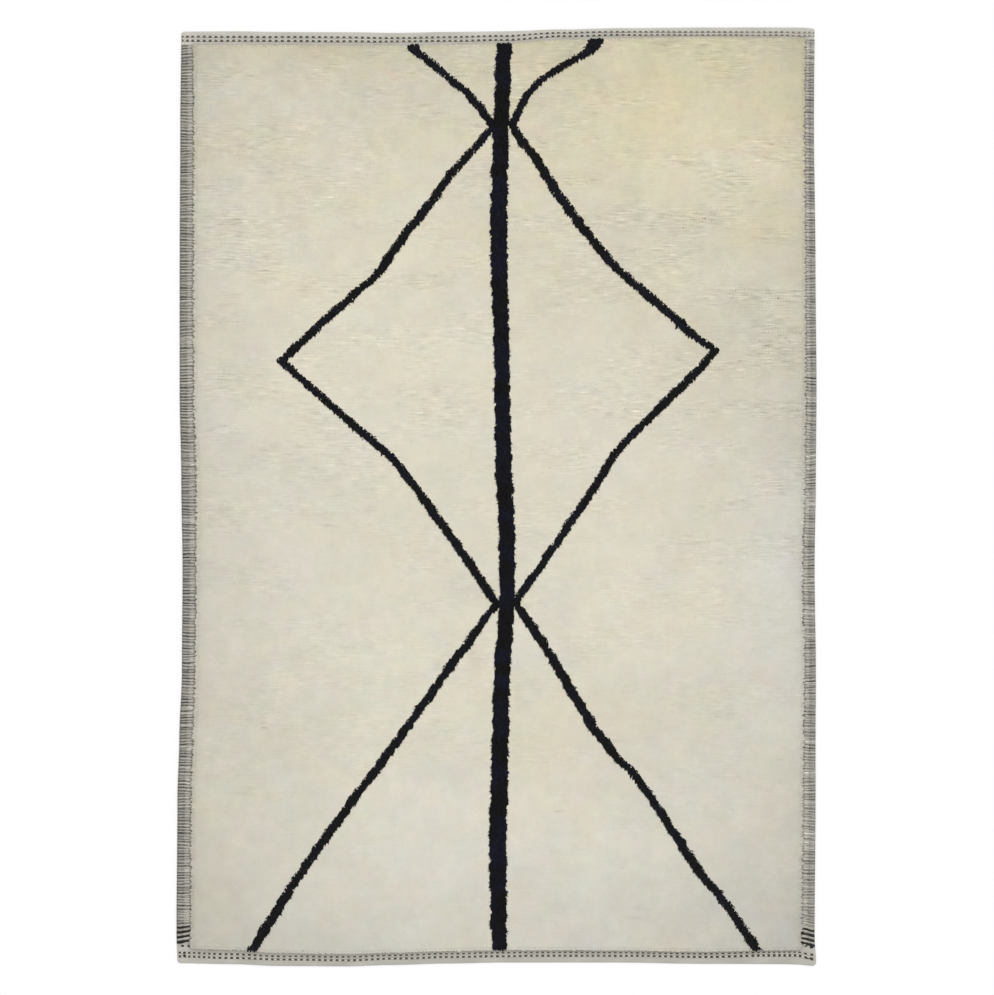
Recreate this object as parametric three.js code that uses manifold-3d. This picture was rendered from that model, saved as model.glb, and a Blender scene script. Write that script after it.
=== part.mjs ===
// A hand-knotted tulu rug lying flat on the floor, in millimetres, +Z up.
//
// +X runs across the rug and +Y along its warp, to the end that is woven last. The origin is on the floor,
// under the middle of the rug.
//
// The cloth is woven in one piece: a field of wool pile between two flat-woven end webs, each turned under
// and sewn down as a hem. What is worked onto that cloth is separate: a selvedge of black and ivory yarn
// lashed round the warps of each long side, and two twined cords across each end web.
//
// Every piece is laid out straight first. Nothing on a hand-woven rug stays straight, so each point of it
// then strays with the lines of the weave that it lies between, as the two tables below say.

import * as THREE from "three";
import { mergeVertices } from "three/addons/utils/BufferGeometryUtils.js";
import Module from "manifold-3d";

// Driving sizes.
const HALF_WIDTH = 1005;
const HALF_LENGTH = 1474;
const GAP = 0.4; // between pieces that touch
const STEP = 90; // between the points along an edge that strays
const CORNER_STEPS = 2;

// The pile stands this high over the floor, and its outer tufts round down to its sides.
const PILE_HEIGHT = 18;
const PILE_SHOULDER = 11;
const PILE_SHOULDER_STEPS = 4;
const PILE_CORNER = 14;

// An end web is two layers of flat weave. The selvedges stop further from the bottom hem than from the top.
const WEB_HEIGHT = 4;
const WEB_SHOULDER = 2.4;
const WEB_SHOULDER_STEPS = 2;
const WEB_OUTER_CORNER = 11;
const WEB_INNER_CORNER = 3;
const HEM_TO_PILE = 41;
const TOP_WEB_DEPTH = 45;
const BOTTOM_WEB_DEPTH = 56;

// A selvedge is lashed over two bundles of warp, which show as ribs along it.
const LEFT_SELVEDGE_WIDTH = 46;
const RIGHT_SELVEDGE_WIDTH = 40;
const SELVEDGE_VALLEY = 4.5;
const SELVEDGE_RIB = 4;
const SELVEDGE_RIBS = 2;
const STEPS_OVER_RIB = 6;

// A twined cord is two yarns that cross over and under the warps.
const TWINE_WIDTH = 5.5;
const TWINE_HEIGHT = 2.4;
const TWINE_STEPS = 6;
const HEM_TO_TWINE = 17;
const TWINE_SPACING = 12;
const TWINE_END_MARGIN = 4;

// The lines of the weave along the long sides, where they lie before they stray.
const SIDE_LINES = {
  leftEdge: -HALF_WIDTH,
  leftPile: -HALF_WIDTH + LEFT_SELVEDGE_WIDTH,
  rightPile: HALF_WIDTH - RIGHT_SELVEDGE_WIDTH,
  rightEdge: HALF_WIDTH,
};

// How far each of them strays towards +X, from the bottom end of the rug to the top.
const SIDE_ROWS = [
  { y: -1474, leftEdge: 3, leftPile: 0, rightPile: -5, rightEdge: -1 },
  { y: -1390, leftEdge: 0, leftPile: 1, rightPile: -6, rightEdge: -5 },
  { y: -960, leftEdge: 2, leftPile: 3, rightPile: -4, rightEdge: -4 },
  { y: -760, leftEdge: 7, leftPile: 9, rightPile: -3, rightEdge: -3 },
  { y: -560, leftEdge: 16, leftPile: 16, rightPile: -2, rightEdge: 0 },
  { y: -230, leftEdge: 17, leftPile: 17, rightPile: -4, rightEdge: -6 },
  { y: 60, leftEdge: 15, leftPile: 18, rightPile: 2, rightEdge: -1 },
  { y: 330, leftEdge: 11, leftPile: 15, rightPile: 3, rightEdge: 0 },
  { y: 700, leftEdge: 11, leftPile: 14, rightPile: 1, rightEdge: -1 },
  { y: 1180, leftEdge: 11, leftPile: 12, rightPile: 0, rightEdge: -5 },
  { y: 1474, leftEdge: 14, leftPile: 11, rightPile: 0, rightEdge: -4 },
];

// The lines of the weave along the short ends, where they lie before they stray.
const END_LINES = {
  bottomHem: -HALF_LENGTH,
  bottomTwine: -HALF_LENGTH + HEM_TO_TWINE,
  bottomPile: -HALF_LENGTH + HEM_TO_PILE,
  topPile: HALF_LENGTH - HEM_TO_PILE,
  topTwine: HALF_LENGTH - HEM_TO_TWINE,
  topHem: HALF_LENGTH,
};

// How far each of them strays towards +Y, from the left side of the rug to the right.
const END_ROWS = [
  { x: -1005, bottomHem: 11, bottomTwine: 13, bottomPile: 12, topPile: -13, topTwine: -13, topHem: -14 },
  { x: -830, bottomHem: 8, bottomTwine: 8, bottomPile: 8, topPile: -13, topTwine: -13, topHem: -12 },
  { x: -680, bottomHem: 1, bottomTwine: 3, bottomPile: -2, topPile: -13, topTwine: -13, topHem: -12 },
  { x: -460, bottomHem: 0, bottomTwine: 0, bottomPile: -4, topPile: -14, topTwine: -13, topHem: -13 },
  { x: -270, bottomHem: 6, bottomTwine: 6, bottomPile: 2, topPile: -14, topTwine: -14, topHem: -15 },
  { x: 20, bottomHem: 13, bottomTwine: 12, bottomPile: 9, topPile: -11, topTwine: -12, topHem: -12 },
  { x: 200, bottomHem: 13, bottomTwine: 13, bottomPile: 10, topPile: -4, topTwine: -5, topHem: -7 },
  { x: 390, bottomHem: 13, bottomTwine: 12, bottomPile: 8, topPile: 2, topTwine: 0, topHem: -3 },
  { x: 650, bottomHem: 9, bottomTwine: 10, bottomPile: 4, topPile: 4, topTwine: 2, topHem: 0 },
  { x: 900, bottomHem: 5, bottomTwine: 17, bottomPile: 9, topPile: 1, topTwine: 0, topHem: 0 },
  { x: 950, bottomHem: 4, bottomTwine: 17, bottomPile: 9, topPile: -1, topTwine: -1, topHem: 0 },
  { x: 1005, bottomHem: 0, bottomTwine: 3, bottomPile: 8, topPile: -1, topTwine: -1, topHem: -3 },
];

// One column of a table, at a place on or between its rows.
function eased(rows, place, column, at) {
  const below = rows.findLast((row) => row[place] <= at) ?? rows[0];
  const above = rows.find((row) => row[place] >= at) ?? rows.at(-1);
  return THREE.MathUtils.lerp(
    below[column],
    above[column],
    THREE.MathUtils.smoothstep(at, below[place], above[place]),
  );
}

// How far a point strays that lies at `at` across the lines and at `along` down their length.
function stray(lines, rows, place, at, along) {
  const columns = Object.keys(lines);
  const passed = columns.filter((column) => lines[column] < at).length;
  const next = THREE.MathUtils.clamp(passed, 1, columns.length - 1);
  const [near, far] = [columns[next - 1], columns[next]];
  return THREE.MathUtils.lerp(
    eased(rows, place, near, along),
    eased(rows, place, far, along),
    (at - lines[near]) / (lines[far] - lines[near]),
  );
}

// A straight piece as it lies on the rug, closed, with the points that its faces share made one.
function asWoven(straight) {
  straight.deleteAttribute("normal");
  straight.deleteAttribute("uv");
  const geometry = mergeVertices(straight);
  const points = geometry.getAttribute("position");
  for (let index = 0; index < points.count; index += 1) {
    const x = points.getX(index);
    const y = points.getY(index);
    points.setX(index, x + stray(SIDE_LINES, SIDE_ROWS, "y", x, y));
    points.setY(index, y + stray(END_LINES, END_ROWS, "x", y, x));
  }
  return geometry;
}

// The outline of a plate, with its corners rounded and a point at every STEP or less.
function plateOutline(left, right, bottom, top, bottomCorner, topCorner) {
  const quarter = Math.PI / 2;
  const path = new THREE.Path();
  path.absarc(right - bottomCorner, bottom + bottomCorner, bottomCorner, -quarter, 0);
  path.absarc(right - topCorner, top - topCorner, topCorner, 0, quarter);
  path.absarc(left + topCorner, top - topCorner, topCorner, quarter, 2 * quarter);
  path.absarc(left + bottomCorner, bottom + bottomCorner, bottomCorner, 2 * quarter, 3 * quarter);
  const corners = path.getPoints(CORNER_STEPS);
  return corners.flatMap((from, index) => {
    const to = corners[(index + 1) % corners.length];
    const pieces = Math.ceil(from.distanceTo(to) / STEP);
    return Array.from({ length: pieces }, (_, piece) => from.clone().lerp(to, piece / pieces));
  });
}

// A plate of cloth on the floor, with its upper edge rounded over. The rounding under it is pressed flat.
function clothPlate(outline, height, shoulder, shoulderSteps) {
  const geometry = new THREE.ExtrudeGeometry(new THREE.Shape(outline), {
    depth: height - shoulder,
    bevelThickness: shoulder,
    bevelSize: shoulder,
    bevelOffset: -shoulder,
    bevelSegments: shoulderSteps,
  });
  const points = geometry.getAttribute("position");
  for (let index = 0; index < points.count; index += 1) {
    points.setZ(index, Math.max(0, points.getZ(index)));
  }
  return asWoven(geometry);
}

// A bar of one cross-section, drawn with its width along `across` and its height along Z.
function clothBar(section, across, along, length) {
  const up = new THREE.Vector3(0, 0, 1);
  const geometry = new THREE.ExtrudeGeometry(section, {
    depth: length,
    steps: Math.ceil(length / STEP),
    curveSegments: TWINE_STEPS,
    bevelEnabled: false,
  });
  geometry.applyMatrix4(new THREE.Matrix4().makeBasis(across, up, along));
  return geometry;
}

const wasm = await Module();
wasm.setup();

function asSolid(geometry) {
  const vertProperties = geometry.getAttribute("position").array;
  const triVerts = Uint32Array.from(geometry.getIndex().array);
  return new wasm.Manifold(new wasm.Mesh({ numProp: 3, vertProperties, triVerts }));
}

// The cloth: the field of pile and the two end webs in one piece, notched along each side for a selvedge.
function rugBody() {
  const { leftEdge, leftPile, rightPile, rightEdge } = SIDE_LINES;
  const { bottomHem, bottomPile, topPile, topHem } = END_LINES;
  const fieldOutline = plateOutline(leftPile, rightPile, bottomPile, topPile, PILE_CORNER, PILE_CORNER);
  const field = clothPlate(fieldOutline, PILE_HEIGHT, PILE_SHOULDER, PILE_SHOULDER_STEPS);
  const topDepth = topHem - TOP_WEB_DEPTH;
  const bottomDepth = bottomHem + BOTTOM_WEB_DEPTH;
  const webs = [
    plateOutline(leftEdge, rightEdge, topDepth, topHem, WEB_INNER_CORNER, WEB_OUTER_CORNER),
    plateOutline(leftEdge, rightEdge, bottomHem, bottomDepth, WEB_OUTER_CORNER, WEB_INNER_CORNER),
  ].map((outline) => clothPlate(outline, WEB_HEIGHT, WEB_SHOULDER, WEB_SHOULDER_STEPS));
  const body = webs.map(asSolid).reduce((cloth, web) => cloth.add(web), asSolid(field)).getMesh();
  const geometry = new THREE.BufferGeometry();
  geometry.setAttribute("position", new THREE.BufferAttribute(body.vertProperties, 3));
  geometry.setIndex(new THREE.BufferAttribute(body.triVerts, 1));
  return geometry;
}

// A selvedge from one end web to the other, flat below and ribbed above.
function selvedge(edge, width) {
  const bottom = -HALF_LENGTH + BOTTOM_WEB_DEPTH + GAP;
  const top = HALF_LENGTH - TOP_WEB_DEPTH - GAP;
  const section = new THREE.Shape();
  section.lineTo(width - GAP, 0);
  const steps = SELVEDGE_RIBS * STEPS_OVER_RIB;
  for (let step = steps; step >= 0; step -= 1) {
    const rib = Math.abs(Math.sin((Math.PI * step) / STEPS_OVER_RIB));
    section.lineTo(((width - GAP) * step) / steps, SELVEDGE_VALLEY + SELVEDGE_RIB * rib);
  }
  const bar = clothBar(section, new THREE.Vector3(1, 0, 0), new THREE.Vector3(0, -1, 0), top - bottom);
  return asWoven(bar.translate(edge, top, 0));
}

// A twined cord, lying on the end web from one side of the rug to the other.
function twinedCord(y) {
  const section = new THREE.Shape();
  section.absellipse(0, 0, TWINE_WIDTH / 2, TWINE_HEIGHT, 0, Math.PI);
  const length = 2 * (HALF_WIDTH - TWINE_END_MARGIN);
  const bar = clothBar(section, new THREE.Vector3(0, 1, 0), new THREE.Vector3(1, 0, 0), length);
  return asWoven(bar.translate(-length / 2, y, WEB_HEIGHT + GAP));
}

const ivoryPile = new THREE.MeshStandardMaterial({ color: 0xd4cebc, roughness: 0.95, metalness: 0 });
const lashing = new THREE.MeshStandardMaterial({ color: 0x8c897f, roughness: 0.9, metalness: 0 });
const darkCord = new THREE.MeshStandardMaterial({ color: 0x4a463d, roughness: 0.9, metalness: 0 });

const rug = new THREE.Group();

function addPiece(name, geometry, material) {
  const piece = new THREE.Mesh(geometry, material.clone());
  piece.name = name;
  rug.add(piece);
}

addPiece("rug_body", rugBody(), ivoryPile);
addPiece("selvedge_left", selvedge(SIDE_LINES.leftEdge, LEFT_SELVEDGE_WIDTH), lashing);
addPiece("selvedge_right", selvedge(SIDE_LINES.rightPile + GAP, RIGHT_SELVEDGE_WIDTH), lashing);
addPiece("twining_top_outer", twinedCord(END_LINES.topTwine), darkCord);
addPiece("twining_top_inner", twinedCord(END_LINES.topTwine - TWINE_SPACING), darkCord);
addPiece("twining_bottom_outer", twinedCord(END_LINES.bottomTwine), darkCord);
addPiece("twining_bottom_inner", twinedCord(END_LINES.bottomTwine + TWINE_SPACING), darkCord);

export default rug;
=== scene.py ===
# A hand-knotted tulu rug of ivory wool, with navy-black lozenge lines, lying flat on the floor. In metres.
#
# +X runs across the rug, +Y along its warp and +Z up out of the pile. The sections follow the rug as it is
# made: the lie of the weave, the foundation and its end webs, the knots, the selvedges and the twined cords.

import math

import bmesh
import bpy
import numpy as np
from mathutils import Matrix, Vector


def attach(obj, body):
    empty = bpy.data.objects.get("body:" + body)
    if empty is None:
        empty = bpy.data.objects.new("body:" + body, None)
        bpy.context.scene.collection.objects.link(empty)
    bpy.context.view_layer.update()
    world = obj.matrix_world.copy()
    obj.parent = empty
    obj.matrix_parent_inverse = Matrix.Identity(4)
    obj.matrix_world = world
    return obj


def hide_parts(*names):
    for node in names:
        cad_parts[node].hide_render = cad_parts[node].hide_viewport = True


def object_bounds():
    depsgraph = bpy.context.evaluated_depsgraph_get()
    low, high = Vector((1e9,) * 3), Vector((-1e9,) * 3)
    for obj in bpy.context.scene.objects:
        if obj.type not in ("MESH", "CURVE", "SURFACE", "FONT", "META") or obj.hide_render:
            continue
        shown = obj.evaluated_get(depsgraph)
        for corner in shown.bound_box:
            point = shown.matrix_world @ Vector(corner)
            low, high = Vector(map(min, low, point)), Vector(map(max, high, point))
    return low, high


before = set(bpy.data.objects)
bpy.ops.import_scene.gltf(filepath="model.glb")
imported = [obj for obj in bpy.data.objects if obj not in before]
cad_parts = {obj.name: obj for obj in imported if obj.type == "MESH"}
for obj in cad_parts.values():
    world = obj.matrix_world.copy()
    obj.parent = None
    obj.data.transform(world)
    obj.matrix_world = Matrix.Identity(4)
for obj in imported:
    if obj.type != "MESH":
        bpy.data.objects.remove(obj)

cad_low, cad_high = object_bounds()


# ----------------------------------------------------------------------------------------------------------
# The lie of the weave. The loom holds the warps straight, but the rug comes off it with every line of the
# weave straying a little. Each piece below is laid out straight, and then moved with the lines near it.

HALF_WIDTH = cad_high.x
HALF_LENGTH = cad_high.y
LEFT_SELVEDGE_WIDTH = 0.046
RIGHT_SELVEDGE_WIDTH = 0.040
HEM_TO_OUTER_CORD = 0.017
HEM_TO_INNER_CORD = 0.028
HEM_TO_PILE = 0.041

# The lines along the sides: left edge, left side of the pile, right side of the pile, right edge.
SIDE_LINES = np.array([
    -HALF_WIDTH,
    -HALF_WIDTH + LEFT_SELVEDGE_WIDTH,
    HALF_WIDTH - RIGHT_SELVEDGE_WIDTH,
    HALF_WIDTH,
])

# How far each of them strays towards +X at a place y along the rug.
#    y       left edge  left pile  right pile  right edge
SIDE_ROWS = np.array([
    (-1.474, 0.006, 0.002, -0.009, -0.001),
    (-1.390, 0.003, 0.005, -0.011, -0.006),
    (-0.960, 0.006, 0.007, -0.007, -0.003),
    (-0.760, 0.012, 0.013, -0.005, -0.003),
    (-0.560, 0.020, 0.019, -0.003, -0.002),
    (-0.230, 0.022, 0.022, -0.008, -0.006),
    (0.060, 0.018, 0.023, -0.001, -0.002),
    (0.330, 0.013, 0.015, 0.003, 0.000),
    (0.700, 0.013, 0.014, 0.001, -0.003),
    (1.180, 0.015, 0.015, -0.001, -0.008),
    (1.474, 0.018, 0.012, 0.002, -0.006),
])

# The lines along the ends: bottom hem, its outer and inner cord, bottom of the pile, and the same at the top.
END_LINES = np.array([
    -HALF_LENGTH,
    -HALF_LENGTH + HEM_TO_OUTER_CORD,
    -HALF_LENGTH + HEM_TO_INNER_CORD,
    -HALF_LENGTH + HEM_TO_PILE,
    HALF_LENGTH - HEM_TO_PILE,
    HALF_LENGTH - HEM_TO_INNER_CORD,
    HALF_LENGTH - HEM_TO_OUTER_CORD,
    HALF_LENGTH,
])

# How far each of them strays towards +Y at a place x across the rug.
#    x       bottom: hem, outer, inner, pile   top: pile, inner, outer, hem
END_ROWS = np.array([
    (-1.005, 0.011, 0.016, 0.016, 0.015, -0.018, -0.017, -0.015, -0.016),
    (-0.830, 0.008, 0.011, 0.011, 0.011, -0.018, -0.017, -0.015, -0.015),
    (-0.680, 0.002, 0.006, 0.005, 0.001, -0.019, -0.018, -0.016, -0.017),
    (-0.460, 0.001, 0.003, 0.003, -0.002, -0.020, -0.019, -0.017, -0.018),
    (-0.330, 0.005, 0.008, 0.008, 0.002, -0.020, -0.019, -0.019, -0.020),
    (-0.150, 0.010, 0.013, 0.013, 0.007, -0.018, -0.017, -0.016, -0.017),
    (0.020, 0.013, 0.016, 0.016, 0.010, -0.014, -0.014, -0.012, -0.015),
    (0.200, 0.013, 0.018, 0.017, 0.010, -0.003, -0.003, -0.002, -0.009),
    (0.390, 0.013, 0.018, 0.016, 0.009, 0.003, 0.001, 0.001, -0.005),
    (0.650, 0.009, 0.014, 0.013, 0.005, 0.006, 0.001, 0.000, -0.003),
    (0.900, 0.008, 0.020, 0.018, 0.010, 0.004, 0.000, -0.001, -0.003),
    (0.950, 0.007, 0.020, 0.018, 0.010, 0.002, -0.001, -0.002, -0.003),
    (1.005, 0.002, 0.006, 0.009, 0.009, 0.001, -0.002, -0.002, -0.006),
])


def eased(places, values, at):
    """The values at places on or between the given ones, easing out of one and into the next."""
    above = np.clip(np.searchsorted(places, at), 1, len(places) - 1)
    share = np.clip((at - places[above - 1]) / (places[above] - places[above - 1]), 0, 1)
    share = share * share * (3 - 2 * share)
    return values[above - 1] * (1 - share) + values[above] * share


def stray(lines, rows, at, along):
    """How far points stray that lie `at` across the lines and `along` down their length."""
    far = np.clip(np.searchsorted(lines, at), 1, len(lines) - 1)
    drifts = np.stack([eased(rows[:, 0], column, along) for column in rows[:, 1:].T])
    share = (at - lines[far - 1]) / (lines[far] - lines[far - 1])
    near_drift = np.take_along_axis(drifts, far[None] - 1, 0)[0]
    far_drift = np.take_along_axis(drifts, far[None], 0)[0]
    return near_drift * (1 - share) + far_drift * share


def as_woven(points):
    """Points laid out straight, moved to where the weave takes them. The last axis of points is x, y, z."""
    x, y, z = (points[..., axis].ravel() for axis in range(3))
    moved = [x + stray(SIDE_LINES, SIDE_ROWS, x, y), y + stray(END_LINES, END_ROWS, y, x), z]
    return np.stack(moved, axis=-1).reshape(points.shape)


# ----------------------------------------------------------------------------------------------------------
# The foundation. One cloth of wool weft over cotton warps, from hem to hem and from edge to edge: hidden
# under the knots of the field, bare at the two end webs, where it is folded under and sewn down double, and
# drawn into two bundles of warp along each side, for the selvedges to be lashed over.

CLOTH_BACK = 0.0006
CLOTH_FACE = 0.0032
WEB_FACE = 0.0040
WEB_RELIEF = 0.0003
WEB_STEP = 0.0002  # the length over which the web drops to the cloth under the knots
HEM_ROUNDING = 0.0034
HEM_EDGE_SHARE = 0.35  # how thick the very edge of a hem is, as a share of the web
CORNER_RADIUS = 0.010
TOP_WEB_DEPTH = 0.045
BOTTOM_WEB_DEPTH = 0.056
SELVEDGE_RIBS = 2
SELVEDGE_VALLEY = 0.0045
SELVEDGE_RIB = 0.004
LASHING_THICKNESS = 0.0022
FIELD_COLUMNS = 61
FIELD_ROWS = 48
FIELD_ENDS = (-1.41, 1.42)
WEB_WOOL = np.array([0.500, 0.480, 0.432])
#    width, length, seed
WEB_WEAVE = [(0.05, 0.012, 11), (0.014, 0.007, 12)]
#    strength, width, length, seed
WEB_SHADES = [(0.08, 0.05, 0.020, 13), (0.06, 0.018, 0.009, 14)]
BOTTOM_WEB_TONE = 0.86
WOOL_SPECULAR = 0.2
PLY_SCALE = 110.0
FIBRES_ACROSS = (0.4, 1.0, 1.0)
FIBRES_ALONG = (1.0, 0.25, 1.0)
LOOKS_UP = 0.2  # how far up a face has to look to be mapped with the upper side


def patchy(x, y, width, length, seed):
    """Soft random patches of about that width and length, from -1 to 1."""
    values = np.random.default_rng(seed).uniform(-1, 1, (512, 64))
    u, v = x / width + 1000.5, y / length + 1000.5
    column, row = np.floor(u).astype(int), np.floor(v).astype(int)
    s, t = u - column, v - row
    s, t = s * s * (3 - 2 * s), t * t * (3 - 2 * t)
    corners = [values[(row + j) % 512, (column + i) % 64] for j in (0, 1) for i in (0, 1)]
    return (corners[0] * (1 - s) + corners[1] * s) * (1 - t) + (corners[2] * (1 - s) + corners[3] * s) * t


def drift(x, length, seed):
    """Soft random values from -1 to 1 that change along a line about every length."""
    return patchy(x, 0 * x, length, 1, seed)


def row_noise(x, row, length, seed):
    """Random values from -1 to 1 that change along a row about every length, with each row its own."""
    return patchy(x, row + 0.5 + 0 * x, length, 1, seed)


def selvedge_share(x):
    """How far across a selvedge a place is: 0 at the rug's edge, 1 at the pile, and over 1 in the field."""
    from_left = (x - SIDE_LINES[0]) / LEFT_SELVEDGE_WIDTH
    from_right = (SIDE_LINES[3] - x) / RIGHT_SELVEDGE_WIDTH
    return np.maximum(np.minimum(from_left, from_right), 0)


def selvedge_top(share):
    """The height of a selvedge's lashing over the floor."""
    rib = np.abs(np.sin(np.pi * SELVEDGE_RIBS * np.minimum(share, 1)))
    return SELVEDGE_VALLEY + SELVEDGE_RIB * rib


def foundation_face(x, y):
    """The height of the upper side of the foundation."""
    share = selvedge_share(x)
    side = selvedge_top(share) - LASHING_THICKNESS
    to_hem = np.minimum(HALF_LENGTH - np.abs(y), HALF_LENGTH)
    web_depth = np.where(y > 0, TOP_WEB_DEPTH, BOTTOM_WEB_DEPTH)
    face = np.where(share < 1, side, CLOTH_FACE)
    edge = np.minimum(to_hem, np.minimum(x - SIDE_LINES[0], SIDE_LINES[3] - x))
    fold = np.sqrt(1 - (1 - np.clip(edge / HEM_ROUNDING, 0, 1)) ** 2)
    web = CLOTH_BACK + (WEB_FACE - CLOTH_BACK) * (HEM_EDGE_SHARE + (1 - HEM_EDGE_SHARE) * fold)
    relief = WEB_RELIEF * sum(patchy(x, y, *weave) for weave in WEB_WEAVE)
    return np.where(to_hem < web_depth, web + relief * fold, face)


# The grid is fine over the webs and the selvedges, and coarse under the knots, which hide it.
from_edge = np.array([0, 0.0005, 0.0012, 0.0024])
over_ribs = np.linspace(0, 1, 9)
across = np.unique(np.round(np.concatenate([
    SIDE_LINES[0] + from_edge,
    SIDE_LINES[0] + over_ribs * LEFT_SELVEDGE_WIDTH,
    np.linspace(SIDE_LINES[1], SIDE_LINES[2], FIELD_COLUMNS),
    SIDE_LINES[3] - over_ribs * RIGHT_SELVEDGE_WIDTH,
    SIDE_LINES[3] - from_edge,
]), 6))
from_hem = np.array([0, 0.0004, 0.0010, 0.0020, 0.0035, *np.arange(0.006, 0.044, 0.003)])
along = np.unique(np.round(np.concatenate([
    -HALF_LENGTH + from_hem,
    -HALF_LENGTH + BOTTOM_WEB_DEPTH + np.array([-WEB_STEP, WEB_STEP]),
    np.linspace(*FIELD_ENDS, FIELD_ROWS),
    HALF_LENGTH - TOP_WEB_DEPTH + np.array([-WEB_STEP, WEB_STEP]),
    HALF_LENGTH - from_hem,
]), 6))
grid_x, grid_y = np.meshgrid(across, along)
upper = np.stack([grid_x, grid_y, foundation_face(grid_x, grid_y)], axis=-1)
lower = np.stack([grid_x, grid_y, np.full(grid_x.shape, CLOTH_BACK)], axis=-1)
count_y, count_x = grid_x.shape
index = np.arange(count_x * count_y).reshape(count_y, count_x)
below = index + index.size


def rounded_corners(points):
    """Points of the straight cloth, with its four corners drawn in to a round."""
    flat = points[..., :2]
    near_edge = np.clip((np.abs(flat) - [HALF_WIDTH, HALF_LENGTH]) / CORNER_RADIUS + 1, 0, 1)
    near_other_edge = near_edge[..., ::-1]
    drawn_in = CORNER_RADIUS * near_edge * (1 - np.sqrt(1 - near_other_edge ** 2 / 2))
    rounded = points.copy()
    rounded[..., :2] -= np.sign(flat) * drawn_in
    return rounded


def quads(a, b, c, d):
    """Four-sided faces from four arrays of corners."""
    return np.stack([a.ravel(), b.ravel(), c.ravel(), d.ravel()], axis=-1)


def new_piece(name, points, faces):
    """An object with that mesh, shaded smooth, whose place is in its mesh."""
    mesh = bpy.data.meshes.new(name)
    mesh.from_pydata(points.reshape(-1, 3).tolist(), [], faces.tolist())
    mesh.shade_smooth()
    piece = bpy.data.objects.new(name, mesh)
    bpy.context.scene.collection.objects.link(piece)
    return piece


def corner_array(piece):
    """The corners of a piece, one row each."""
    places = np.empty(len(piece.data.vertices) * 3)
    piece.data.vertices.foreach_get("co", places)
    return places.reshape(-1, 3)


def flat_map(piece, share=0.5):
    """Maps a piece as seen from above: what looks up goes on the left share of the map, the rest on
    the right."""
    mesh = piece.data
    places = corner_array(piece)
    corner = np.empty(len(mesh.loops), int)
    mesh.loops.foreach_get("vertex_index", corner)
    facing = np.empty(len(mesh.polygons) * 3)
    mesh.polygons.foreach_get("normal", facing)
    sides = np.empty(len(mesh.polygons), int)
    mesh.polygons.foreach_get("loop_total", sides)
    up = np.repeat(facing.reshape(-1, 3)[:, 2] > LOOKS_UP, sides)
    low, high = places.min(0)[:2], places.max(0)[:2]
    flat = (places[corner, :2] - low) / (high - low)
    flat[:, 0] = np.where(up, flat[:, 0] * share, share + flat[:, 0] * (1 - share))
    mesh.uv_layers.new(name="OFBake").data.foreach_set("uv", flat.ravel())


def colour_corners(piece, colours):
    """Gives each corner of a piece the colour of its wool, with any painted light and shade laid into it."""
    colour_and_painted_shade = piece.data.attributes.new("colour_and_painted_shade", "FLOAT_COLOR", "POINT")
    rgba = np.ones((len(piece.data.vertices), 4))
    rgba[:, :3] = np.clip(colours, 0, 1).reshape(-1, 3)
    colour_and_painted_shade.data.foreach_set("color", rgba.ravel())


def add_node(tree, kind, inputs=None, **settings):
    """A new node with those settings, and with its inputs set to values or linked to other nodes' outputs."""
    made = tree.nodes.new(kind)
    for name, value in settings.items():
        setattr(made, name, value)
    for name, value in (inputs or {}).items():
        if isinstance(value, bpy.types.NodeSocket):
            tree.links.new(value, made.inputs[name])
        else:
            made.inputs[name].default_value = value
    return made


def math_node(tree, operation, *values):
    """The output of a new Math node that works on those numbers or other nodes' outputs."""
    return add_node(tree, "ShaderNodeMath", dict(enumerate(values)), operation=operation).outputs[0]


def stretched_place(tree, scale):
    """The output of new nodes that give the place on a piece, scaled."""
    place = add_node(tree, "ShaderNodeTexCoord").outputs["Object"]
    return add_node(tree, "ShaderNodeMapping", {"Vector": place, "Scale": scale}).outputs["Vector"]


def shade_material(tree, colour, shade):
    """Makes the colour of a material that colour times that shade."""
    shaded = add_node(tree, "ShaderNodeVectorMath", {0: colour, 1: shade}, operation="MULTIPLY")
    tree.links.new(shaded.outputs["Vector"], tree.nodes["Principled BSDF"].inputs["Base Color"])


# Spun wool, as every yarn and tuft shows it: fibres that lie along the yarn, a twist of its plies that runs
# slantwise across it, and a colour that is never quite even. Shade multiplies a colour, and Height is a bump.
# Shade follows Height, so it is partly the uneven colour of the wool and partly painted shade where fibres
# and plies lie low.
spun_wool = bpy.data.node_groups.new("spun_wool", "ShaderNodeTree")
spun_wool.interface.new_socket(name="Vector", in_out="INPUT", socket_type="NodeSocketVector")
for socket in ("Fibre Scale", "Unevenness", "Ply Scale", "Ply Depth"):
    spun_wool.interface.new_socket(name=socket, in_out="INPUT", socket_type="NodeSocketFloat")
for socket in ("Shade", "Height"):
    spun_wool.interface.new_socket(name=socket, in_out="OUTPUT", socket_type="NodeSocketFloat")
given = add_node(spun_wool, "NodeGroupInput").outputs
fibres = add_node(
    spun_wool,
    "ShaderNodeTexNoise",
    {"Vector": given["Vector"], "Scale": given["Fibre Scale"], "Detail": 3.0, "Roughness": 0.6},
).outputs["Fac"]
plies = add_node(
    spun_wool,
    "ShaderNodeTexWave",
    {"Vector": given["Vector"], "Scale": given["Ply Scale"], "Distortion": 1.0, "Detail": 1.0},
    bands_direction="DIAGONAL",
).outputs["Fac"]
twist = math_node(spun_wool, "MULTIPLY", plies, given["Ply Depth"])
mixed = math_node(spun_wool, "ADD", fibres, twist)
centred = math_node(spun_wool, "MULTIPLY_ADD", given["Ply Depth"], -0.5, -0.5)
swing = math_node(spun_wool, "ADD", mixed, centred)
shade = math_node(spun_wool, "MULTIPLY_ADD", swing, given["Unevenness"], 1.0)
result = add_node(spun_wool, "NodeGroupOutput").inputs
spun_wool.links.new(shade, result["Shade"])
spun_wool.links.new(mixed, result["Height"])


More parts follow.
